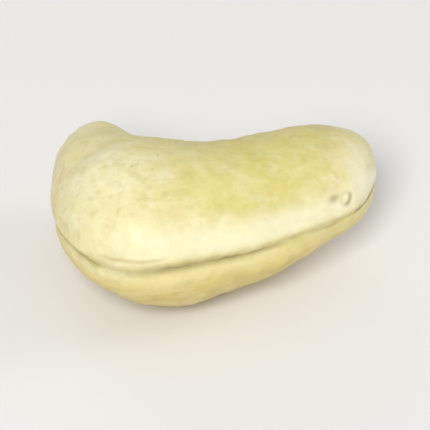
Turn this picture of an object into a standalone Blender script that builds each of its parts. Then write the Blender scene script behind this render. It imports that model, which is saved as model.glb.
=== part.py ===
"""One whole shelled cashew kernel: a plump crescent of two seed halves that grew as one piece.

The kernel lies on its side, the way it comes to rest on a table. Its bend faces -Y, its two
arms sweep back towards +Y, and its length runs along X. The seam between the two seed halves
follows the plane of the crescent all the way round the edge.
"""

import bmesh
import bpy
import numpy as np

MM = 0.001

# Plan of the crescent in the plane of the seam, in mm: X along the kernel, Y away from the bend.
# The first six points go round the outer edge from the horn to the slim arm, the last six come
# back along the hollow side.
OUTLINE = (
    (-10.9, 10.6),  # tip of the horn
    (-12.9, 6.4),  # side of the blunt arm
    (-12.1, -2.2),  # heel
    (-6.8, -7.0),  # outside of the bend
    (2.8, -4.4),  # back of the slim arm
    (11.1, 1.6),  # shoulder of the slim arm
    (12.3, 8.1),  # tip of the slim arm
    (7.3, 9.4),  # inside of the slim arm
    (3.0, 7.1),  # mouth of the hollow
    (-2.2, 6.3),  # floor of the hollow
    (-5.4, 7.3),  # corner under the horn
    (-7.3, 10.4),  # inside of the horn
)

# Thickness of each half, as a share of the half width across the seam plane
FULL_HALF_WIDTH = 6.5  # mm, the half width at which the shares below hold exactly
END_FULLNESS = 0.66  # below 1, the thickness falls off later than the width, so the ends are blunt
TOP_AT_HORN = 0.88
TOP_AT_SLIM_TIP = 1.06
UNDER_AT_HORN = 0.97
UNDER_AT_SLIM_TIP = 0.76
UNDER_LEAN = 0.30  # the deepest line of the underside lies this far towards the hollow side
BELLY_SWELL = 0.29  # the underside bulges in the middle, where the kernel rests
BELLY_PLACE = 0.61  # along the kernel, 0 at the horn and 1 at the slim tip
BELLY_SPREAD = 0.12
SECTION_POWER = 2.15  # 2 is an ellipse, more is squarer

# Seam, in mm
SEAM_DEPTH = 0.20
SEAM_WIDTH = 0.34
SEAM_STEP = 0.10  # the upper half stands this much prouder than the lower one beside the seam
SEAM_STEP_REACH = 1.5

# Relief of the surface, in mm
WAVE_HEIGHT = 0.11
WAVES = (  # strength, then radians per mm along X, Y and Z, then phase
    (0.9, 0.62, 0.35, 0.45, 0.8),
    (0.8, -0.66, 0.44, 0.30, 0.4),
    (0.5, 0.00, 0.90, -0.70, 1.1),
)
TIP_FADE = 0.06  # the seam and the waves die out this close to each tip, along the kernel
PIT_DEPTH = 0.16
PIT_RADIUS = 0.55
PIT_PLACES = ((9.1, -0.4, 2.0), (10.3, 0.4, 1.6))  # dents over the seam on the slim arm

# Flatter strip along the top, on the side of the hollow
FLAT_DEPTH = 0.12  # mm
FLAT_TURN_DEG = 122.0  # round the section, from the bend side over the top
FLAT_SPREAD_DEG = 26.0
FLAT_PLACE = 0.52  # along the kernel
FLAT_LENGTH = 0.30

# The seed's root tip, a small tongue that lies over the seam inside the horn
TONGUE_HEIGHT = 0.42  # mm
TONGUE_MOAT = 0.14  # mm, the dip round it
TONGUE_PLACE = 0.15  # along the kernel
TONGUE_LENGTH = 0.09
TONGUE_WIDTH = 1.1  # mm

# Resting pose
ROLL_DEG = 8.0  # about X, which lifts the bend and lowers the arms
FOOT_CUT = 0.35  # mm worn off the low point, which leaves a small flat spot under the weight

# Mesh
RINGS = 68
RING_POINTS = 64
SEAM_CROWDING = 0.6  # 0 spaces the points evenly, towards 1 they gather at the seam

KERNEL_COLOUR = (0.72, 0.62, 0.36, 1.0)
KERNEL_ROUGHNESS = 0.5


def clear_scene():
    for item in list(bpy.data.objects):
        bpy.data.objects.remove(item, do_unlink=True)


def smooth_loop(points, places):
    """Points at the given places on the smooth closed curve through a loop of points."""
    points = np.array(points, dtype=float)
    count = len(points)
    forward = np.roll(points, -1, axis=0)
    backward = np.roll(points, 1, axis=0)
    one = np.eye(count)
    system = 4 * one + np.roll(one, 1, axis=1) + np.roll(one, -1, axis=1)
    slopes = np.linalg.solve(system, 3 * (forward - backward))
    start = np.floor(places).astype(int) % count
    end = (start + 1) % count
    t = (places - np.floor(places))[:, None]
    return (
        (1 + 2 * t) * (1 - t) ** 2 * points[start]
        + t * (1 - t) ** 2 * slopes[start]
        + t**2 * (3 - 2 * t) * points[end]
        + t**2 * (t - 1) * slopes[end]
    )


def bump(distance, width):
    """A smooth hump, 1 high at distance 0, that dies out over about twice the width."""
    return np.exp(-((distance / width) ** 2))


def rounded(value, power):
    """Sine or cosine bent so that an ellipse becomes a slightly squarer section."""
    return np.sign(value) * np.abs(value) ** (2 / power)


def section_grid():
    """Rings of points from the horn to the slim tip, in mm, with where each point lies."""
    side = len(OUTLINE) / 2
    along = np.arange(1, RINGS) / RINGS
    outer = smooth_loop(OUTLINE, side * along)
    inner = smooth_loop(OUTLINE, 2 * side - side * along)
    middle = (outer + inner) / 2
    reach = (outer - inner) / 2
    half_width = np.linalg.norm(reach, axis=1)
    fullness = FULL_HALF_WIDTH * (half_width / FULL_HALF_WIDTH) ** END_FULLNESS
    top = (TOP_AT_HORN + (TOP_AT_SLIM_TIP - TOP_AT_HORN) * along) * fullness
    belly = BELLY_SWELL * bump(along - BELLY_PLACE, BELLY_SPREAD)
    under = (UNDER_AT_HORN + (UNDER_AT_SLIM_TIP - UNDER_AT_HORN) * along + belly) * fullness

    turn = 2 * np.pi * np.arange(RING_POINTS) / RING_POINTS
    around = turn - SEAM_CROWDING * np.sin(2 * turn) / 2
    across = rounded(np.cos(around), SECTION_POWER)
    upward = rounded(np.sin(around), SECTION_POWER)
    across = across - UNDER_LEAN * np.maximum(0, -np.sin(around)) ** 2
    plan = middle[:, None, :] + reach[:, None, :] * across[None, :, None]
    height = np.where(upward[None, :] > 0, top[:, None], under[:, None]) * upward[None, :]
    return np.dstack([plan, height]), along, around


def grid_normals(grid):
    """Outward directions at each point of the rings."""
    around = np.roll(grid, -1, axis=1) - np.roll(grid, 1, axis=1)
    along = np.gradient(grid, axis=0)
    normals = np.cross(along, around)
    normals /= np.linalg.norm(normals, axis=2, keepdims=True)
    return normals


def surface_relief(grid, along, around):
    """How far each point stands out from the plain crescent, in mm."""
    x = grid[:, :, 0]
    y = grid[:, :, 1]
    z = grid[:, :, 2]
    place = along[:, None]
    angle = around[None, :]
    inside = np.maximum(0, -np.cos(angle))
    away_from_tips = 1 - bump(place, TIP_FADE) - bump(1 - place, TIP_FADE)

    tongue = bump(place - TONGUE_PLACE, TONGUE_LENGTH) * bump(z, TONGUE_WIDTH) * inside
    root_tip = TONGUE_HEIGHT * tongue**2 - 4 * TONGUE_MOAT * tongue * (1 - tongue)

    seam = -SEAM_DEPTH * bump(z, SEAM_WIDTH) * (1 - tongue)
    step = SEAM_STEP * np.tanh(z / SEAM_WIDTH) * bump(z, SEAM_STEP_REACH) * (1 - tongue)

    waves = np.zeros_like(x)
    for strength, by_x, by_y, by_z, phase in WAVES:
        waves += strength * np.sin(by_x * x + by_y * y + by_z * z + phase)

    round_section = bump(angle - np.radians(FLAT_TURN_DEG), np.radians(FLAT_SPREAD_DEG))
    flat = -FLAT_DEPTH * round_section * bump(place - FLAT_PLACE, FLAT_LENGTH)

    pits = np.zeros_like(x)
    for place_of_pit in PIT_PLACES:
        distance = np.linalg.norm(grid - np.array(place_of_pit), axis=2)
        pits -= PIT_DEPTH * bump(distance, PIT_RADIUS)

    return (seam + step + WAVE_HEIGHT * waves) * away_from_tips + flat + root_tip + pits


def lay_down(points):
    """Turns points from the seam plane's frame into the resting pose."""
    roll = np.radians(ROLL_DEG)
    y = points[:, 1] * np.cos(roll) + points[:, 2] * np.sin(roll)
    z = points[:, 2] * np.cos(roll) - points[:, 1] * np.sin(roll)
    return np.column_stack([points[:, 0], y, z])


def set_on_table(points):
    """Wears a small flat spot on the low point and puts the kernel's box centre over the origin."""
    floor = points[:, 2].min() + FOOT_CUT
    points[:, 2] = np.maximum(points[:, 2], floor) - floor
    points[:, :2] -= (points[:, :2].min(axis=0) + points[:, :2].max(axis=0)) / 2
    return points


def kernel_mesh():
    grid, along, around = section_grid()
    grid += grid_normals(grid) * surface_relief(grid, along, around)[:, :, None]
    tips = smooth_loop(OUTLINE, np.array([0.0, len(OUTLINE) / 2]))
    tips = np.column_stack([tips, np.zeros(2)])
    points = set_on_table(lay_down(np.vstack([grid.reshape(-1, 3), tips]))) * MM

    shape = bmesh.new()
    verts = [shape.verts.new(point) for point in points]
    rings = [verts[i * RING_POINTS : (i + 1) * RING_POINTS] for i in range(RINGS - 1)]
    horn, slim_tip = verts[-2:]
    for k in range(RING_POINTS):
        n = (k + 1) % RING_POINTS
        shape.faces.new((horn, rings[0][k], rings[0][n]))
        shape.faces.new((slim_tip, rings[-1][n], rings[-1][k]))
        for near, far in zip(rings, rings[1:]):
            shape.faces.new((near[k], far[k], far[n], near[n]))
    bmesh.ops.recalc_face_normals(shape, faces=shape.faces)
    mesh = bpy.data.meshes.new("cashew_kernel")
    shape.to_mesh(mesh)
    shape.free()
    mesh.shade_smooth()
    return mesh


def kernel_material():
    material = bpy.data.materials.new("kernel_flesh")
    material.use_nodes = True
    shader = material.node_tree.nodes["Principled BSDF"]
    shader.inputs["Base Color"].default_value = KERNEL_COLOUR
    shader.inputs["Roughness"].default_value = KERNEL_ROUGHNESS
    shader.inputs["Metallic"].default_value = 0.0
    return material


def main():
    clear_scene()
    kernel = bpy.data.objects.new("cashew_kernel", kernel_mesh())
    kernel.data.materials.append(kernel_material())
    bpy.context.scene.collection.objects.link(kernel)


main()
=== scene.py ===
"""The looks of one whole cashew kernel.

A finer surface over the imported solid, its waxy mottled flesh, and a plain studio.
"""

from math import cos, radians, sin

import bpy
import numpy as np
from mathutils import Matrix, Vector, noise


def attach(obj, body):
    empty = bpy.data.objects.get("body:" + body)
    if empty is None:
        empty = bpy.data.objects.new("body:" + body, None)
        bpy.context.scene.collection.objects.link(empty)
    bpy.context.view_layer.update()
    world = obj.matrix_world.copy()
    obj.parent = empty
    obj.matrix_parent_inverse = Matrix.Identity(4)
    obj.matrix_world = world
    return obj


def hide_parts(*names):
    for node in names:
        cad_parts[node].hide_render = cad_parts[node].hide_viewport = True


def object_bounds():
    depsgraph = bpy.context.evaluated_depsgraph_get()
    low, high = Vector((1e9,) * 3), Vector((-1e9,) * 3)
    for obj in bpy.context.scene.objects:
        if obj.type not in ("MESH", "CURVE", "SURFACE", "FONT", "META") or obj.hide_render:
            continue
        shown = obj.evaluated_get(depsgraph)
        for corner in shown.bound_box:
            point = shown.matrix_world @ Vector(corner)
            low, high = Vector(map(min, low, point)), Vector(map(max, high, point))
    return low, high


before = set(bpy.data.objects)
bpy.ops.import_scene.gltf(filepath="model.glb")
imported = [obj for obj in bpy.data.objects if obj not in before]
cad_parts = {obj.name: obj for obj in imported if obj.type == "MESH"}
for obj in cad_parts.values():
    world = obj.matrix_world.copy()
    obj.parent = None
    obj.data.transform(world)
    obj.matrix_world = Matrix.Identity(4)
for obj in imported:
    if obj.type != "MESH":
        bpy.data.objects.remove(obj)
cad_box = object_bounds()

MM = 0.001
EVEN = (1.0, 1.0, 1.0)  # no stretch

# The kernel's lengths are in mm, and places are in the seam's own axes: X along the kernel,
# Y away from the bend, and height over the seam. A pair of numbers is where something starts to
# come in and where it is fully there, unless its comment says otherwise.
SEAM_ROLL_DEG = 8.0  # about X, in the frame
SEAM_POINT = (0.09, -1.86, 7.20)  # where the seam's axes start, in the frame

# Middle line of the crescent in the seam plane, from the horn to the slim tip
MIDDLE_LINE = (
    (-10.9, 10.6),
    (-10.1, 8.4),
    (-8.8, 2.5),
    (-4.5, -0.4),
    (2.9, 1.4),
    (9.2, 5.5),
    (12.3, 8.1),
)
STEPS_PER_SPAN = 24
BLEND_RADIUS = 2.5  # a point shares its place with the stretches of the middle line this near
BATCH = 8000  # points placed along the middle line at a time

# Finer surface
REFINEMENTS = 2
MERGE_DISTANCE = 1e-6  # metres
QUAD_ANGLE = radians(60)  # two triangles become a quad that is bent and skewed by less than this
FAINTEST_SHARE = 0.002  # a weaker share of a relief leaves the surface where it is
FOOT_EDGE = 0.9  # the relief fades below this height over the table, so that the foot stays flat
TIP_CALM = (0.5, 2.2)  # distance from a tip

# How squarely a point faces the bend or the hollow, where 1 is straight at it
FACING = (0.0, 0.5)
FACING_WELL = (0.0, 0.8)

# Noise drawn out along the kernel: how fast it changes per mm along it, then round it, and a
# shift to another part of the noise
GRAIN = {
    "crack_wander": (0.45, 0.0, 0.0),
    "crack_tremble": (1.9, 0.0, 9.0),
    "crack_width": (0.8, 0.0, 17.0),
    "crack_opening": (0.42, 0.0, 31.0),
    "end_wrinkles": (0.16, 3.0, 0.0),
    "end_patches": (0.3, 1.3, 44.0),
    "folds": (0.75, 1.1, 60.0),
    "fibres": (0.32, 6.0, 90.0),
}

# Root tip that lies over the seam inside the horn
ROOT_TIP_PLACE = 4.9  # along the kernel
ROOT_TIP_LENGTH = 2.5
ROOT_TIP_WIDTH = 1.15
ROOT_TIP_TAPER = 0.35
ROOT_TIP_EDGE = (0.75, 1.0)  # shares of its size, over which it dies out
ROOT_RIM_DEPTH = 0.14
ROOT_RIM_WIDTH = 0.16

# Crack along the seam. All relief is pressed in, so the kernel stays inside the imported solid.
CRACK_DEPTH = 0.15
CRACK_WIDTH = 0.08
CRACK_WIDTH_CHANGE = 0.5
CRACK_DROP = 0.18  # it runs this far below the middle of the seam's groove
CRACK_WANDER = 0.12
CRACK_TREMBLE = 0.6  # share of the wander
CRACK_LEAST_OPEN = 0.30
CRACK_OPENS = (-0.35, 0.25)  # its noise
CRACK_CLOSED_PLACE = 7.2  # X at which it nearly closes
CRACK_CLOSED_SPREAD = 2.0
CRACK_CLOSED_SHARE = 0.75
CRACK_HIDDEN = (0.0, 0.4)  # share of the root tip, which covers the seam
SLIT_WIDENING = 0.09  # it opens into a slit at both tips
SLIT_REACH = 2.4

# Painted shade in a strip beside the crack, darkest at the middle of the bend
SHADE_WIDTH = 0.42
SHADE_LEAST = 0.35
SHADE_RISE = (-10.0, -2.5)  # X
SHADE_CLEAR = (0.5, 5.0)  # X, over which it gets fainter again

# Second, faint line over the seam at the heel, with a pale lip between the two
LIP_HEIGHT = 0.95
LIP_SPREAD = 0.25
LIP_LINE_WIDTH = 0.16
LIP_LINE_DEPTH = 0.05
LIP_FROM = (-9.5, -8.0)  # X
LIP_TO = (-3.0, -5.0)  # X

# Dry ends with wrinkles that run out from the tips, and folds across the hollow side
END_REACH = (1.5, 7.0)  # distance from a tip, over which the dry end dies out
END_WRINKLE_DEPTH = 0.10
END_WRINKLE_WIDTH = 0.16
END_PATCHES = (-0.5, 0.4)  # its noise
FOLD_DEPTH = 0.10
FOLD_WIDTH = 0.10
FOLDS_FROM_HORN = (5.0, 9.0)  # along the kernel
FOLDS_FROM_SLIM_TIP = (8.0, 13.0)

# Lumps, dimples and fibres all over. The surface is pressed in where their noise is low, and is
# left where it is high.
LUMP_DEPTH = 0.13
LUMP_SIZE = 3.2
LUMP_NOISE = (-0.6, 0.6)
DIMPLE_DEPTH = 0.06
DIMPLE_SIZE = 1.1
DIMPLE_SHIFT = 40.0
DIMPLE_NOISE = (-0.6, 0.5)
FIBRE_DEPTH = 0.04
FIBRE_NOISE = (-0.5, 0.6)

# Smudge and small crater on the flank of the slim arm
MARK_DEPTH = 0.10
SMUDGE = ((9.2, -0.15, 2.15), (0.6, 0.9, 1.2), 0.48)  # place, stretch, radius
SMUDGE_STRENGTH = 0.72
CRATER_PLACE = (10.1, 0.5, 1.75)
CRATER_STRETCH = (0.80, 0.75, 0.86)
CRATER_RADIUS = 0.38
CRATER_RIM = 0.20
CRATER_UNEVENNESS = 0.10
CRATER_NICKS = 1.9  # per mm
CRATER_LEAN = 0.4  # painted shade on the rim, darkest towards the slim tip, and by this share towards the seam
CRATER_LEAST = 0.36
CRATER_DARKENS = (-0.1, 0.5)

# Pores, with painted shade in them
PORE_DEPTH = 0.08
PORE_COUNT = 14
PORE_RADII = (0.09, 0.16)  # smallest and largest
PORE_SHADE = 0.5
SEED = 7

# Patches of colour: place, stretch, radius
TAN_FLANK = ((8.2, -0.9, -1.0), EVEN, 1.7)
TAN_AND_SHADE_TIP = ((11.2, 1.7, 0.9), EVEN, 1.1)  # tan and painted shade beside the crater, where the tip turns under
TAN_AND_SHADE_TIP_STRENGTH = 0.8
PALE_SHOULDER = ((11.3, 3.0, 2.8), EVEN, 2.0)  # on the slim tip
PAINTED_LIGHT_FLANK = ((-7.8, -1.4, 5.8), (0.55, 0.6, 0.8), 2.6)  # painted light on top of the blunt arm

# How ragged a patch is: strength, size of the blobs, and a shift to another part of the noise
PALE_RAGGED = (0.5, 1.2, 0.0)
PAINTED_LIGHT_RAGGED = (0.9, 1.1, 25.0)

# Colours of the flesh
CREAM = (0.82, 0.75, 0.40, 1.0)
YELLOW = (0.74, 0.66, 0.24, 1.0)
STRAW = (0.67, 0.59, 0.18, 1.0)
OLIVE = (0.56, 0.49, 0.17, 1.0)
TAN = (0.76, 0.62, 0.33, 1.0)
PALE = (0.91, 0.88, 0.65, 1.0)
GOLD = (0.73, 0.575, 0.18, 1.0)
BUTTER = (0.92, 0.80, 0.40, 1.0)
PINK = (0.80, 0.66, 0.42, 1.0)
UMBER = (0.45, 0.33, 0.13, 1.0)
MOSS = (0.38, 0.32, 0.12, 1.0)
BROWN = (0.24, 0.18, 0.08, 1.0)

# Zones of colour, laid on in turn: strength, colour, and the spans that a zone comes in over.
# X is the frame's, in mm. Side is 1 at the bend and -1 in the hollow, and up is 1 on top.
GROUND_ZONES = (
    (0.60, CREAM, (("x", -2.0, -9.0),)),  # blunt arm, paler: partly painted light from the left
    (1.00, STRAW, (("up", 0.38, 0.78), ("x", -8.0, 1.0))),  # top of the slim arm
    (0.50, TAN, (("x", -10.0, -12.8),)),  # heel, darker: painted shade
)
# strength of the painted light on top of the blunt arm
PAINTED_LIGHT_STRENGTH = 0.70
LATER_ZONES = (
    # painted shade: a straw wash that darkens the slim arm's top
    (0.34, STRAW, (("up", 0.45, 0.80), ("x", -5.0, 1.0), ("x", 10.0, 7.0))),
    # olive towards the hollow, partly painted shade along the top edge
    (0.44, OLIVE, (("up", 0.50, 0.95), ("side", 0.65, -0.40))),
    # bright band over the seam, partly a painted highlight
    (0.65, PALE, (("up", 0.02, 0.20), ("up", 0.66, 0.36), ("side", 0.1, 0.6), ("x", -13.0, -3.0))),
    # golden lower half, partly painted shade, with painted shade underneath
    (0.85, GOLD, (("up", 0.02, -0.42),)),
    (0.36, UMBER, (("up", -0.30, -0.85),)),
    # painted highlight on the ledge under the seam at the bend
    (0.60, BUTTER, (("up", -0.50, -0.15), ("up", -0.02, -0.10), ("x", -8.0, -3.0), ("x", 7.0, 3.0))),
)

# Mottling, laid on in turn: axes, stretch, blobs per unit, detail, fade-in span, strength, colour.
# The solid axes are in metres, and the grain is in mm along the kernel.
MOTTLING = (
    ("solid", EVEN, 330.0, 2.0, (0.36, 0.66), 0.55, CREAM),
    ("solid", EVEN, 1150.0, 3.0, (0.38, 0.70), 0.35, CREAM),
    ("solid", EVEN, 620.0, 2.0, (0.50, 0.70), 0.50, TAN),
    ("grain", (0.35, 3.0, 3.0), 1.0, 2.0, (0.45, 0.78), 0.35, PALE),
    ("grain", (0.55, 2.4, 2.4), 1.3, 2.0, (0.46, 0.78), 0.32, OLIVE),
    ("solid", EVEN, 850.0, 1.5, (0.52, 0.76), 0.40, PALE),
    ("solid", (1.0, 1.3, 0.8), 1050.0, 1.0, (0.54, 0.68), 0.26, OLIVE),
    ("solid", EVEN, 2400.0, 3.0, (0.50, 0.80), 0.30, OLIVE),
)
LOWER_HALF = (-0.05, -0.55)  # up
LOWER_MOTTLING = (
    ("grain", (0.3, 2.2, 2.2), 1.6, 3.0, (0.46, 0.72), 0.45, CREAM),
    ("solid", EVEN, 520.0, 3.0, (0.50, 0.74), 0.38, UMBER),
)

# Pale dry ends, root tip and lip, tan patches with some painted shade, then painted shade in the
# creases and beside the seam: name kept at the vertices, strength, colour
FEATURES = (
    ("end", 0.55, PALE),
    ("root_tip", 0.45, PALE),
    ("lip", 0.55, PINK),
    ("lip_line", 0.42, UMBER),
    ("tan_and_shade_patch", 0.50, TAN),
    ("pale_patch", 0.75, PALE),
    ("wrinkle", 0.45, OLIVE),
    ("seam_shade", 0.72, MOSS),
)
# Marks and crack, with painted shade on one side of the crater, in the pores and in the open crack:
# name kept at the vertices, fade-in span, strength, colour
DARK_FEATURES = (
    ("mark", (0.02, 0.95), 0.80, MOSS),
    ("crack", (0.05, 0.60), 0.40, UMBER),
    ("crack", (0.50, 1.00), 0.55, BROWN),
)

# Satin sheen, rubbed smoother in places
RUB_SCALE = 900.0  # blobs per metre
RUB_DETAIL = 3.0
RUB_SPAN = (0.3, 0.7)
ROUGHNESS = (0.36, 0.60)  # smoothest and roughest

# Bumps, laid on in turn: axes, stretch, blobs per unit, detail, strength, height
BUMPS = (
    ("grain", (0.6, 14.0, 14.0), 1.0, 4.0, 0.45, 0.15),  # fine fibres along the kernel
    ("solid", EVEN, 2300.0, 3.0, 0.45, 0.08),  # slight dusty pitting
)

# Light that sinks into the waxy flesh
GLOW_WEIGHT = 0.22
GLOW_BY_COLOUR = (1.0, 0.7, 0.3)  # shares of the depth that red, green and blue reach
GLOW_DEPTH = 0.9
WAX_IOR = 1.46

# Sockets of the mix node for colours, whose names repeat for other kinds of value
MIX_SHARE = 0
MIX_UNDER = 6
MIX_OVER = 7
MIX_RESULT = 2

# Studio, in metres and watts
AIM = (0.0, 0.0, 0.0062)
CAMERA_RISE = radians(41)
CAMERA_DISTANCE = 0.28
CAMERA_LENS = 300.0  # mm
NEAREST_SEEN = 0.01
FLOOR_SIZE = 3.0
FLOOR_GAP = 0.02 * MM
FLOOR_COLOUR = (0.82, 0.81, 0.79, 1.0)
FLOOR_ROUGHNESS = 0.8
ROOM_COLOUR = (1.0, 1.0, 1.0, 1.0)
ROOM_STRENGTH = 0.46
LAMPS = (
    # name, place, size, power
    ("front_lamp", (-0.07, -0.315, 0.335), 0.18, 1.38),
    ("side_lamp", (0.35, 0.05, 0.22), 0.20, 0.29),
    ("back_lamp", (-0.12, 0.33, 0.15), 0.25, 0.20),
)


def deselect_all():
    if bpy.context.object and bpy.context.object.mode != "OBJECT":
        bpy.ops.object.mode_set(mode="OBJECT")
    bpy.ops.object.select_all(action="DESELECT")


def make_active(piece):
    deselect_all()
    piece.select_set(True)
    bpy.context.view_layer.objects.active = piece


def fade(value, start, end):
    """Smooth step from 0 at start to 1 at end."""
    t = np.clip((value - start) / (end - start), 0, 1)
    return t * t * (3 - 2 * t)


def bump(distance, width):
    """Smooth hump, 1 high at distance 0."""
    return np.exp(-((distance / width) ** 2))


def from_least(least, share):
    """The least where the share is 0, rising to 1 where it is 1."""
    return least + (1 - least) * share


def noise_at(points):
    """Smooth noise at each point, about -1 to 1, with blobs about 1 unit wide."""
    return np.array([noise.noise(Vector(point)) for point in points])


def vertex_places(piece):
    """Vertex coordinates in the frame, in mm."""
    places = np.empty(len(piece.data.vertices) * 3)
    piece.data.vertices.foreach_get("co", places)
    return places.reshape(-1, 3) / MM


def seam_places(places):
    """The same points in the seam's own axes."""
    roll = radians(SEAM_ROLL_DEG)
    x, y, z = (places - np.array(SEAM_POINT)).T
    return np.column_stack([x, y * cos(roll) - z * sin(roll), z * cos(roll) + y * sin(roll)])


def curve_point(a, b, c, d, t):
    """The point at share t of the way from b to c, on the smooth curve through four points."""
    first = (c - a) * t / 2
    second = (2 * a - 5 * b + 4 * c - d) * t**2 / 2
    third = (3 * b - a - 3 * c + d) * t**3 / 2
    return b + first + second + third


def middle_line():
    """The smooth curve through MIDDLE_LINE: its points, which way is outward, and the run along it."""
    points = np.array(MIDDLE_LINE)
    before = 2 * points[0] - points[1]
    after = 2 * points[-1] - points[-2]
    points = np.vstack([before, points, after])
    line = []
    for span in zip(points, points[1:], points[2:], points[3:]):
        for step in range(STEPS_PER_SPAN):
            line.append(curve_point(*span, step / STEPS_PER_SPAN))
    line.append(points[-2])
    line = np.array(line)
    heading = np.gradient(line, axis=0)
    heading /= np.linalg.norm(heading, axis=1, keepdims=True)
    outward = np.column_stack([heading[:, 1], -heading[:, 0]])
    steps = np.linalg.norm(np.diff(line, axis=0), axis=1)
    run = np.concatenate([[0], np.cumsum(steps)])
    return line, outward, run


def grain_places(seam):
    """For each point, how far along the kernel and its direction round the section, then the length."""
    line, outward, run = middle_line()
    along = np.empty(len(seam))
    out = np.empty(len(seam))
    for start in range(0, len(seam), BATCH):
        batch = slice(start, start + BATCH)
        gap = seam[batch, None, :2] - line[None, :, :]
        far = (gap**2).sum(axis=2)
        share = np.exp(-(far - far.min(axis=1, keepdims=True)) / BLEND_RADIUS**2)
        share /= share.sum(axis=1, keepdims=True)
        along[batch] = share @ run
        out[batch] = (share * (gap * outward[None]).sum(axis=2)).sum(axis=1)
    turn = np.arctan2(seam[:, 2], out)
    return along, np.cos(turn), np.sin(turn), run[-1]


def finer_copy(node, name):
    """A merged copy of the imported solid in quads, refined to a fine smooth surface."""
    piece = bpy.data.objects.new(name, node.data.copy())
    bpy.context.scene.collection.objects.link(piece)
    make_active(piece)
    bpy.ops.object.mode_set(mode="EDIT")
    bpy.ops.mesh.select_all(action="SELECT")
    bpy.ops.mesh.remove_doubles(threshold=MERGE_DISTANCE)
    bpy.ops.mesh.tris_convert_to_quads(face_threshold=QUAD_ANGLE, shape_threshold=QUAD_ANGLE)
    bpy.ops.object.mode_set(mode="OBJECT")
    finer = piece.modifiers.new("finer", "SUBSURF")
    finer.levels = REFINEMENTS
    finer.render_levels = REFINEMENTS
    bpy.ops.object.modifier_apply(modifier=finer.name)
    bpy.ops.object.shade_smooth()
    piece.data.materials.clear()
    return piece


def press_in(piece, name, depth, shares):
    """Presses the surface in by depth where the shares are 1, and less where they are lower."""
    group = piece.vertex_groups.new(name=name)
    for index, share in enumerate(shares):
        if share > FAINTEST_SHARE:
            group.add([index], min(float(share), 1.0), "REPLACE")
    make_active(piece)
    relief = piece.modifiers.new(name, "DISPLACE")
    relief.strength = -depth * MM
    relief.mid_level = 0.0
    relief.vertex_group = group.name
    bpy.ops.object.modifier_apply(modifier=relief.name)
    bpy.ops.object.vertex_group_remove(all=True)


def keep(piece, name, values):
    """Stores one number for each vertex, for the flesh to read."""
    layer = piece.data.attributes.new(name, "FLOAT", "POINT")
    layer.data.foreach_set("value", np.asarray(values, dtype=np.float32))


class Survey:
    """Where each vertex of the kernel lies before any relief."""

    def __init__(self, piece):
        self.places = vertex_places(piece)
        self.seam = seam_places(self.places)
        self.along, self.side, self.up, self.length = grain_places(self.seam)
        self.x = self.seam[:, 0]
        self.height = self.seam[:, 2]
        ends = [np.append(tip, 0.0) for tip in (MIDDLE_LINE[0], MIDDLE_LINE[-1])]
        self.to_tip = np.min([np.linalg.norm(self.seam - end, axis=1) for end in ends], axis=0)
        self.calm = fade(self.places[:, 2], 0.0, FOOT_EDGE) * fade(self.to_tip, *TIP_CALM)

    def grain(self, name):
        """One of the noises drawn out along the kernel."""
        lengthwise, roundwise, shift = GRAIN[name]
        places = [self.along * lengthwise + shift, self.side * roundwise, self.up * roundwise]
        return noise_at(np.column_stack(places))

    def distance(self, place, stretch):
        return np.linalg.norm((self.seam - place) * stretch, axis=1)

    def spot(self, place, stretch, radius):
        """A soft patch, 1 at its place."""
        return bump(self.distance(place, stretch), radius)

    def ragged(self, strength, size, shift):
        """A factor about 1 that breaks up a patch."""
        return 1 + strength * noise_at(self.places / size + shift)


def shape_root_tip(piece, at):
    """A small pointed tongue with a groove round it, which hides the seam inside the horn."""
    ahead = (ROOT_TIP_PLACE - at.along) / ROOT_TIP_LENGTH
    across = at.height / (ROOT_TIP_WIDTH * (1 - ROOT_TIP_TAPER * np.clip(ahead, -1, 1)))
    outline = np.hypot(ahead, across)
    inside = fade(-at.side, *FACING)
    root_tip = (1 - fade(outline, *ROOT_TIP_EDGE)) * inside
    rim = bump(outline - 1, ROOT_RIM_WIDTH) * inside
    press_in(piece, "root_rim", ROOT_RIM_DEPTH, rim)
    keep(piece, "root_tip", root_tip)
    return root_tip, rim


def shape_seam(piece, at, root_tip):
    """The crack and a strip of painted shade beside it, then the faint line and the lip over it at the
    heel.
    """
    clear = 1 - fade(root_tip, *CRACK_HIDDEN)
    wander = CRACK_WANDER * (at.grain("crack_wander") + CRACK_TREMBLE * at.grain("crack_tremble"))
    slit = bump(at.to_tip, SLIT_REACH)
    off_seam = at.height + wander + CRACK_DROP * (1 - slit)
    width = CRACK_WIDTH * (1 + CRACK_WIDTH_CHANGE * at.grain("crack_width")) + SLIT_WIDENING * slit
    closed = 1 - CRACK_CLOSED_SHARE * bump(at.x - CRACK_CLOSED_PLACE, CRACK_CLOSED_SPREAD)
    opening = from_least(CRACK_LEAST_OPEN, fade(at.grain("crack_opening"), *CRACK_OPENS)) * closed
    crack = bump(off_seam, width) * np.maximum(opening, slit) * clear
    press_in(piece, "crack", CRACK_DEPTH, crack)
    # darker where the crack opens: partly the seam's own line, partly painted shade in the gap
    keep(piece, "crack", crack)

    on_bend = fade(at.side, *FACING)
    darkest = fade(at.x, *SHADE_RISE) * (1 - fade(at.x, *SHADE_CLEAR))
    shade = from_least(SHADE_LEAST, darkest * on_bend)
    # painted shade in a strip beside the crack
    keep(piece, "seam_shade", bump(off_seam, SHADE_WIDTH) * shade * clear)

    heel = fade(at.x, *LIP_FROM) * fade(at.x, *LIP_TO) * on_bend
    line = bump(at.height + wander - LIP_HEIGHT, LIP_LINE_WIDTH) * heel
    press_in(piece, "lip_line", LIP_LINE_DEPTH, line)
    # painted shade in the faint line
    keep(piece, "lip_line", line)
    keep(piece, "lip", bump(at.height + wander - LIP_HEIGHT / 2, LIP_SPREAD) * heel)


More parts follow.
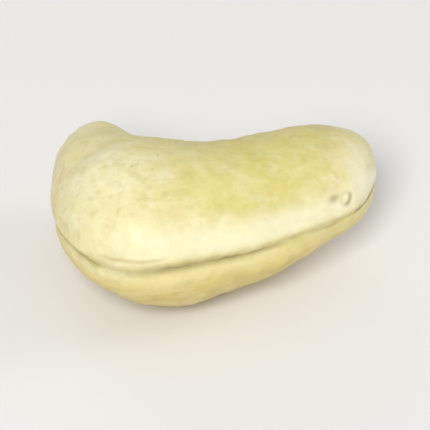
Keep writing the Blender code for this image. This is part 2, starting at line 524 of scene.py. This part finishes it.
def shape_wrinkles(piece, at, root_rim):
    """Wrinkles that run out from both tips, and folds across the hollow side."""
    near_ends = 1 - fade(at.to_tip, *END_REACH)
    patches = fade(at.grain("end_patches"), *END_PATCHES)
    end_lines = bump(at.grain("end_wrinkles"), END_WRINKLE_WIDTH) * near_ends * patches * at.calm
    press_in(piece, "end_wrinkles", END_WRINKLE_DEPTH, end_lines)

    from_horn = fade(at.along, *FOLDS_FROM_HORN)
    from_slim_tip = fade(at.length - at.along, *FOLDS_FROM_SLIM_TIP)
    bent = fade(-at.side, *FACING_WELL) * from_horn * from_slim_tip
    fold_lines = bump(at.grain("folds"), FOLD_WIDTH) * bent * at.calm
    press_in(piece, "folds", FOLD_DEPTH, fold_lines)
    # painted shade in the creases and in the groove round the root tip
    keep(piece, "wrinkle", np.max([end_lines, fold_lines, root_rim], axis=0))
    keep(piece, "end", near_ends)


def shape_skin(piece, at):
    """Soft lumps, dimples and fine fibres all over."""
    lumps = 1 - fade(noise_at(at.places / LUMP_SIZE), *LUMP_NOISE)
    dimples = 1 - fade(noise_at(at.places / DIMPLE_SIZE + DIMPLE_SHIFT), *DIMPLE_NOISE)
    fibres = 1 - fade(at.grain("fibres"), *FIBRE_NOISE)
    press_in(piece, "lumps", LUMP_DEPTH, lumps * at.calm)
    press_in(piece, "dimples", DIMPLE_DEPTH, dimples * at.calm)
    press_in(piece, "fibres", FIBRE_DEPTH, fibres * at.calm)


def crater_rim(at):
    """A small uneven ring, with painted shade darkest on one side."""
    unevenness = CRATER_UNEVENNESS * noise_at(at.places * CRATER_NICKS)
    from_crater = at.distance(CRATER_PLACE, CRATER_STRETCH) + unevenness
    dark_side = (at.x - CRATER_PLACE[0]) - CRATER_LEAN * (at.height - CRATER_PLACE[2])
    darkness = from_least(CRATER_LEAST, fade(dark_side, *CRATER_DARKENS))
    return bump(from_crater - CRATER_RADIUS, CRATER_RIM) * darkness


def scattered_pores(at):
    """Small pits at vertices drawn at random."""
    draw = np.random.default_rng(SEED)
    pores = np.zeros(len(at.places))
    for centre in draw.choice(len(at.places), PORE_COUNT, replace=False):
        distance = np.linalg.norm(at.places - at.places[centre], axis=1)
        pores = np.maximum(pores, bump(distance, draw.uniform(*PORE_RADII)))
    return pores * at.calm


def shape_marks(piece, at):
    """The smudge and the crater by the slim tip, and small pores."""
    marks = np.maximum(SMUDGE_STRENGTH * at.spot(*SMUDGE), crater_rim(at))
    press_in(piece, "marks", MARK_DEPTH, marks)
    pores = scattered_pores(at)
    press_in(piece, "pores", PORE_DEPTH, pores)
    # the smudge, painted shade on the crater's rim, and painted shade in the pores
    keep(piece, "mark", np.maximum(marks, PORE_SHADE * pores))


def keep_patches(piece, at):
    """Soft patches of colour: tan, partly painted shade, and pale by the slim tip, and painted light on
    the blunt arm.
    """
    # tan patches, the one at the tip partly painted shade
    tan_and_shade = np.maximum(at.spot(*TAN_FLANK), TAN_AND_SHADE_TIP_STRENGTH * at.spot(*TAN_AND_SHADE_TIP))
    pale = at.ragged(*PALE_RAGGED) * at.spot(*PALE_SHOULDER)
    # painted light on top of the blunt arm
    painted_light = at.ragged(*PAINTED_LIGHT_RAGGED) * at.spot(*PAINTED_LIGHT_FLANK)
    keep(piece, "tan_and_shade_patch", tan_and_shade)
    keep(piece, "pale_patch", np.clip(pale, 0, 1))
    keep(piece, "painted_light_flank", np.clip(painted_light, 0, 1))


def keep_grain(piece, at):
    """Stores how far along and which way round the kernel, for its streaks and fibres."""
    grain = piece.data.attributes.new("grain", "FLOAT_VECTOR", "POINT")
    places = np.column_stack([at.along, at.side, at.up])
    grain.data.foreach_set("vector", places.astype(np.float32).ravel())


def shape_flesh(piece):
    """Presses the fine relief into the surface and stores where it is, for the flesh to read."""
    at = Survey(piece)
    root_tip, root_rim = shape_root_tip(piece, at)
    shape_seam(piece, at, root_tip)
    shape_wrinkles(piece, at, root_rim)
    shape_skin(piece, at)
    shape_marks(piece, at)
    keep_patches(piece, at)
    keep_grain(piece, at)


def settle(piece):
    """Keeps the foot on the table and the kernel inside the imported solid's box."""
    low, high = (np.array(corner) / MM for corner in cad_box)
    places = np.clip(vertex_places(piece), low, high) * MM
    piece.data.vertices.foreach_set("co", places.ravel())
    piece.data.update()


def add_node(tree, kind, **settings):
    made = tree.nodes.new(kind)
    for name, value in settings.items():
        setattr(made, name, value)
    return made


def feed(tree, socket, value):
    """Links a socket to another one's output, or sets it to a plain value."""
    if isinstance(value, bpy.types.NodeSocket):
        tree.links.new(value, socket)
    else:
        socket.default_value = value


def mapped(tree, value, span, result, kind):
    """The value moved from the span to the range of the result, and held at both ends."""
    made = add_node(tree, "ShaderNodeMapRange", interpolation_type=kind)
    feed(tree, made.inputs["Value"], value)
    limits = {"From Min": span[0], "From Max": span[1], "To Min": result[0], "To Max": result[1]}
    for name, limit in limits.items():
        made.inputs[name].default_value = limit
    return made.outputs["Result"]


def share_of(tree, value, span, top=1.0):
    """0 at the start of the span and top at its end, smooth between."""
    return mapped(tree, value, span, (0.0, top), "SMOOTHSTEP")


def product(tree, one, other):
    made = add_node(tree, "ShaderNodeMath", operation="MULTIPLY")
    feed(tree, made.inputs[0], one)
    feed(tree, made.inputs[1], other)
    return made.outputs[0]


def tint(tree, share, under, over):
    """The under colour with the over colour laid on it by its share."""
    made = add_node(tree, "ShaderNodeMix", data_type="RGBA")
    feed(tree, made.inputs[MIX_SHARE], share)
    feed(tree, made.inputs[MIX_UNDER], under)
    feed(tree, made.inputs[MIX_OVER], over)
    return made.outputs[MIX_RESULT]


def speckle(tree, vector, stretch, scale, detail):
    """Noise over a stretched space."""
    mapping = add_node(tree, "ShaderNodeMapping")
    feed(tree, mapping.inputs["Vector"], vector)
    mapping.inputs["Scale"].default_value = stretch
    made = add_node(tree, "ShaderNodeTexNoise")
    feed(tree, made.inputs["Vector"], mapping.outputs["Vector"])
    made.inputs["Scale"].default_value = scale
    made.inputs["Detail"].default_value = detail
    return made.outputs["Fac"]


def stored(tree, name):
    """A number kept at each vertex."""
    return add_node(tree, "ShaderNodeAttribute", attribute_name=name).outputs["Fac"]


def split(tree, vector):
    made = add_node(tree, "ShaderNodeSeparateXYZ")
    feed(tree, made.inputs["Vector"], vector)
    return made.outputs


def lay_zones(tree, colour, places, zones):
    """Lays on each zone's colour, strongest where all of its spans meet."""
    for strength, over, spans in zones:
        share = strength
        for axis, *span in spans:
            share = product(tree, share, share_of(tree, places[axis], span))
        colour = tint(tree, share, colour, over)
    return colour


def lay_spots(tree, colour, axes, rows, within=None):
    """Lays on each row's blobs of colour, everywhere or within a share."""
    for space, stretch, scale, detail, span, strength, over in rows:
        share = share_of(tree, speckle(tree, axes[space], stretch, scale, detail), span, strength)
        if within is not None:
            share = product(tree, within, share)
        colour = tint(tree, share, colour, over)
    return colour


def lay_features(tree, colour):
    """Lays on the colours of what is kept at the vertices."""
    for name, strength, over in FEATURES:
        colour = tint(tree, product(tree, stored(tree, name), strength), colour, over)
    for name, span, strength, over in DARK_FEATURES:
        colour = tint(tree, share_of(tree, stored(tree, name), span, strength), colour, over)
    return colour


def flesh_colour(tree, axes):
    """Cream and pale yellow, mottled and streaked along the kernel, golden below the seam, with painted
    light and shade laid on.
    """
    turned = split(tree, axes["grain"])
    places = {
        "x": product(tree, split(tree, axes["solid"])["X"], 1 / MM),  # in mm
        "side": turned["Y"],
        "up": turned["Z"],
    }
    colour = lay_zones(tree, YELLOW, places, GROUND_ZONES)
    # painted light on top of the blunt arm
    flank = product(tree, stored(tree, "painted_light_flank"), PAINTED_LIGHT_STRENGTH)
    colour = tint(tree, flank, colour, PALE)
    colour = lay_spots(tree, colour, axes, MOTTLING)
    colour = lay_zones(tree, colour, places, LATER_ZONES)
    below = share_of(tree, places["up"], LOWER_HALF)
    colour = lay_spots(tree, colour, axes, LOWER_MOTTLING, below)
    return lay_features(tree, colour)


def skin_bumps(tree, axes):
    """Fine fibres, with dusty pitting over them."""
    normal = None
    for space, stretch, scale, detail, strength, height in BUMPS:
        made = add_node(tree, "ShaderNodeBump")
        made.inputs["Strength"].default_value = strength
        made.inputs["Distance"].default_value = height * MM
        feed(tree, made.inputs["Height"], speckle(tree, axes[space], stretch, scale, detail))
        if normal is not None:
            feed(tree, made.inputs["Normal"], normal)
        normal = made.outputs["Normal"]
    return normal


def cashew_flesh():
    """Waxy satin flesh."""
    material = bpy.data.materials.new("cashew_flesh")
    material.use_nodes = True
    tree = material.node_tree
    shader = tree.nodes["Principled BSDF"]
    axes = {
        "solid": add_node(tree, "ShaderNodeTexCoord").outputs["Object"],
        "grain": add_node(tree, "ShaderNodeAttribute", attribute_name="grain").outputs["Vector"],
    }
    rub = speckle(tree, axes["solid"], EVEN, RUB_SCALE, RUB_DETAIL)
    feed(tree, shader.inputs["Base Color"], flesh_colour(tree, axes))
    feed(tree, shader.inputs["Roughness"], mapped(tree, rub, RUB_SPAN, ROUGHNESS, "LINEAR"))
    feed(tree, shader.inputs["Normal"], skin_bumps(tree, axes))
    shader.inputs["Subsurface Weight"].default_value = GLOW_WEIGHT
    shader.inputs["Subsurface Radius"].default_value = GLOW_BY_COLOUR
    shader.inputs["Subsurface Scale"].default_value = GLOW_DEPTH * MM
    shader.inputs["IOR"].default_value = WAX_IOR
    return material


def pale_floor():
    deselect_all()
    bpy.ops.mesh.primitive_plane_add(size=FLOOR_SIZE, location=(0, 0, -FLOOR_GAP))
    floor = bpy.context.object
    floor.name = "studio_floor"
    material = bpy.data.materials.new("pale_paper")
    material.use_nodes = True
    shader = material.node_tree.nodes["Principled BSDF"]
    shader.inputs["Base Color"].default_value = FLOOR_COLOUR
    shader.inputs["Roughness"].default_value = FLOOR_ROUGHNESS
    floor.data.materials.append(material)


def aimed(location):
    """The turn that points a lamp or camera at the kernel."""
    return (Vector(AIM) - Vector(location)).to_track_quat("-Z", "Y").to_euler()


def studio_lights():
    world = bpy.data.worlds.new("soft_room")
    bpy.context.scene.world = world
    world.use_nodes = True
    room = world.node_tree.nodes["Background"]
    room.inputs["Color"].default_value = ROOM_COLOUR
    room.inputs["Strength"].default_value = ROOM_STRENGTH
    for name, location, size, power in LAMPS:
        bpy.ops.object.light_add(type="AREA", location=location, rotation=aimed(location))
        lamp = bpy.context.object
        lamp.name = name
        lamp.data.shape = "DISK"
        lamp.data.size = size
        lamp.data.energy = power


def camera():
    towards_camera = Vector((0, -cos(CAMERA_RISE), sin(CAMERA_RISE)))
    location = Vector(AIM) + CAMERA_DISTANCE * towards_camera
    bpy.ops.object.camera_add(location=location, rotation=aimed(location))
    view = bpy.context.object
    view.data.lens = CAMERA_LENS
    view.data.clip_start = NEAREST_SEEN
    bpy.context.scene.camera = view
    bpy.context.scene.view_settings.view_transform = "Standard"


kernel = finer_copy(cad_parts["cashew_kernel"], "whole_kernel")
shape_flesh(kernel)
settle(kernel)
kernel.data.materials.append(cashew_flesh())
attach(kernel, "root")
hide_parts("cashew_kernel")
pale_floor()
studio_lights()
camera()
